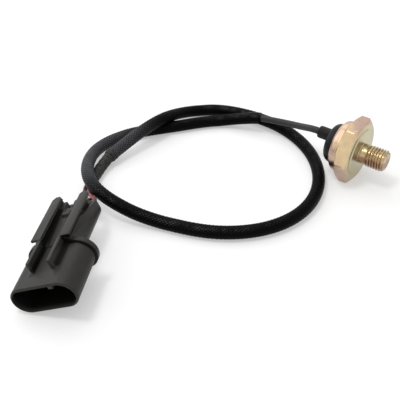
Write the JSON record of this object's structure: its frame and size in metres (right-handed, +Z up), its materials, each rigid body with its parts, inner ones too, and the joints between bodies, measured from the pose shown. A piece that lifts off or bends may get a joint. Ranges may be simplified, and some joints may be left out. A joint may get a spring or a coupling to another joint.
{
  "type": "engine knock sensor",
  "caption": "Hexagonal threaded knock sensor with a crimped rear cap and a long sleeved lead that ends in an oval plug.",
  "frame": {"origin": "floor point below the middle of the sensor head's own bounding box, the head lying on one flat of its hexagon", "axes": "+X out along the threaded stud, +Y level across the hexagon from flat corner to flat corner, +Z up from the flat that the head lies on"},
  "size_m": [0.1219, 0.1652, 0.027],
  "materials": {
    "plated_steel": "yellow passivated zinc plating, satin",
    "sensing_steel": "ground",
    "piezo_ceramic": "matt, silvered faces",
    "brass_contact": "tinned brass",
    "black_rubber": "moulded",
    "black_plastic": "fine matt",
    "lead_jacket": "extruded jacket",
    "sleeve_braid": "woven over a soft tube",
    "wrapping_tape": "overlapped cloth tape",
    "red_insulation": "extruded",
    "brown_insulation": "extruded",
    "black_insulation": "extruded",
    "grey_plastic": "fine matt moulding",
    "brass_pin": "bright",
    "seal_rubber": "moulded",
    "dark_plastic": "matt"
  },
  "bodies": {
    "root": {"sensor_housing": "plated_steel", "vibration_plate": "sensing_steel", "clamp_ring": "sensing_steel", "contact_spring": "sensing_steel", "piezo_disc": "piezo_ceramic", "signal_terminal": "brass_contact", "ground_terminal": "brass_contact", "o_ring": "black_rubber", "lead_grommet": "black_rubber", "rear_cap": "black_plastic", "sensor_lead": "lead_jacket", "braided_sleeve": "sleeve_braid", "tape_wrap": "wrapping_tape", "red_wire": "red_insulation", "brown_wire": "brown_insulation", "black_wire": "black_insulation", "plug_housing": "grey_plastic", "pin_terminal_1": "brass_pin", "pin_terminal_2": "brass_pin", "pin_terminal_3": "brass_pin", "wire_seal_1": "seal_rubber", "wire_seal_2": "seal_rubber", "wire_seal_3": "seal_rubber", "pin_retainer": "dark_plastic"}
  },
  "joints": []
}
